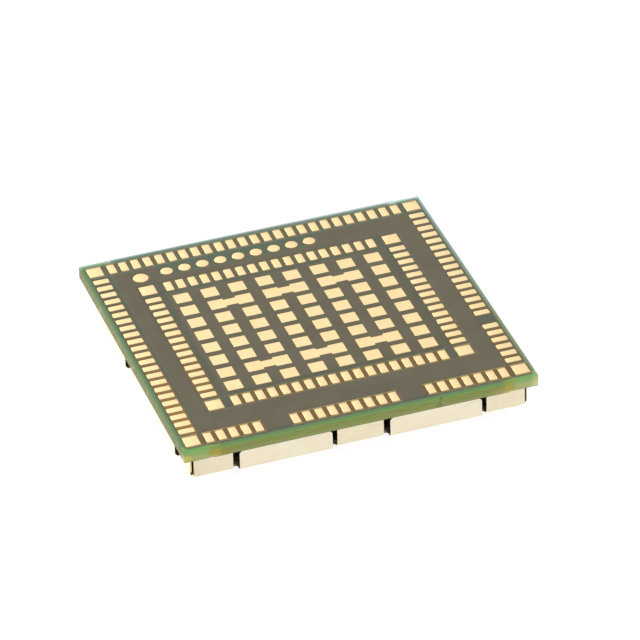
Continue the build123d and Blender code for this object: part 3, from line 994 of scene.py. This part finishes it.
def plain_finishes(gold):
    """Finishes of the ground plane and of all that lies under the board inside the shield."""
    component_mask = plain_material("component_mask", (62, 92, 60), (74, 104, 70), roughness=0.45, scale=1.2)
    tin_land = plain_material("tin_land", (196, 194, 186), (214, 212, 204), roughness=0.35, scale=3,
                              metallic=1.0)
    mould = plain_material("package_mould", (34, 34, 36), (44, 44, 46), roughness=0.6, scale=6)
    filters = plain_material("filter_lid", (160, 150, 120), (176, 166, 134), roughness=0.4, scale=4,
                             metallic=0.8)
    ceramic = plain_material("capacitor_body", (140, 112, 84), (156, 128, 98), roughness=0.5, scale=5)
    resistor = plain_material("resistor_body", (40, 42, 44), (58, 60, 62), roughness=0.45, scale=5)
    ferrite = plain_material("ferrite_body", (72, 72, 74), (90, 90, 92), roughness=0.6, scale=5)
    finishes = (
        (gold, ("ground_plane",)),
        (component_mask, ("component_side_mask",)),
        (tin_land, ("shield_land_ring",)),
        (mould, ("baseband_processor", "memory_package", "power_manager", "radio_transceiver",
                 "high_band_amplifier", "low_band_amplifier", "antenna_switch", "satellite_amplifier")),
        (filters, ("duplexers", "receive_filters", "satellite_filter",
                   "reference_oscillator", "sleep_crystal")),
        (ceramic, ("large_capacitors", "small_capacitors")),
        (resistor, ("chip_resistors",)),
        (ferrite, ("power_inductors", "chip_inductors")),
    )
    for finish, nodes in finishes:
        for node in nodes:
            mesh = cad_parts[node].data
            mesh.materials.clear()
            mesh.materials.append(finish)


# Stage

def stage_floor():
    """A plain white floor: the camera and mirror-like surfaces see it white, with a soft shadow."""
    mesh = bpy.data.meshes.new("floor")
    corners = rectangle(-FLOOR_HALF, -FLOOR_HALF, FLOOR_HALF, FLOOR_HALF)
    mesh.from_pydata([(x, y, FLOOR_LEVEL) for x, y in corners], [], [(0, 1, 2, 3)])
    s = Shader("floor_paper")
    nodes, links = s.tree.nodes, s.tree.links
    nodes.remove(s.principled)
    path = s.node("ShaderNodeLightPath").outputs
    sent_on = s.highest(path["Is Glossy Ray"], path["Is Transmission Ray"])
    seen = s.highest(path["Is Camera Ray"], sent_on)
    plain = s.node("ShaderNodeBsdfDiffuse", {"Color": (*[FLOOR_TONE] * 3, 1)}).outputs[0]
    faint = s.node("ShaderNodeBsdfDiffuse", {"Color": (*[SEEN_FLOOR_TONE] * 3, 1)}).outputs[0]
    glow = s.node("ShaderNodeEmission", {"Color": (1, 1, 1, 1), "Strength": SEEN_FLOOR_GLOW}).outputs[0]
    white = s.node("ShaderNodeAddShader", {0: faint, 1: glow}).outputs[0]
    out = s.node("ShaderNodeMixShader", {0: seen, 1: plain, 2: white}).outputs[0]
    links.new(out, nodes["Material Output"].inputs["Surface"])
    mesh.materials.append(s.material)
    floor = bpy.data.objects.new("floor", mesh)
    bpy.context.scene.collection.objects.link(floor)


def lamp(name, place, size, power):
    """A soft box that looks at the origin."""
    light = bpy.data.lights.new(name, "AREA")
    light.shape = "RECTANGLE"
    light.size, light.size_y = size
    light.energy = power
    obj = bpy.data.objects.new(name, light)
    bpy.context.scene.collection.objects.link(obj)
    obj.location = place
    obj.rotation_euler = (-Vector(place)).to_track_quat("-Z", "Y").to_euler()


def lights():
    """A white room that the camera sees at full strength, and two soft boxes."""
    world = bpy.data.worlds.new("studio")
    bpy.context.scene.world = world
    world.use_nodes = True
    tree = world.node_tree
    background = tree.nodes["Background"]
    background.inputs["Color"].default_value = (1, 1, 1, 1)
    path = tree.nodes.new("ShaderNodeLightPath")
    strength = tree.nodes.new("ShaderNodeMapRange")
    strength.inputs["To Min"].default_value = ROOM_GLOW
    strength.inputs["To Max"].default_value = SEEN_ROOM_GLOW
    tree.links.new(path.outputs["Is Camera Ray"], strength.inputs["Value"])
    tree.links.new(strength.outputs[0], background.inputs["Strength"])
    lamp("softbox_back", place=(-0.15, 0.55, 0.5), size=(0.7, 0.5), power=1.1)
    lamp("softbox_left", place=(-0.64, 0.4, 0.075), size=(0.3, 0.14), power=4.5)


def camera():
    """The photograph's viewpoint."""
    cam = bpy.data.cameras.new("camera")
    cam.sensor_width = CAMERA_SENSOR_MM
    cam.lens = CAMERA_LENS_MM
    cam.shift_x, cam.shift_y = CAMERA_SHIFT
    cam.clip_start, cam.clip_end = CAMERA_CLIP
    obj = bpy.data.objects.new("camera", cam)
    bpy.context.scene.collection.objects.link(obj)
    axes = (Vector(CAMERA_RIGHT), -Vector(CAMERA_DOWN), -Vector(CAMERA_AHEAD))
    obj.matrix_world = Matrix.Translation(CAMERA_PLACE) @ Matrix(axes).transposed().to_4x4()
    bpy.context.scene.camera = obj


def main():
    bpy.context.scene.view_settings.view_transform = "Standard"
    camera()
    stage_floor()
    lights()
    gold = gold_material()
    mask = mask_material()
    for node, corner in LAND_CORNERS.items():
        lands(node, corner, gold)
    land_side_mask(mask)
    laminate(laminate_material())
    lid_sheet = sheet_material("tinned_lid", (252, 240, 214), (254, 246, 222))
    frame_sheet = sheet_material("tinned_frame", (248, 236, 205), (252, 242, 212))
    shield(lid_sheet, frame_sheet)
    plain_finishes(gold)


main()
bpy.context.view_layer.update()
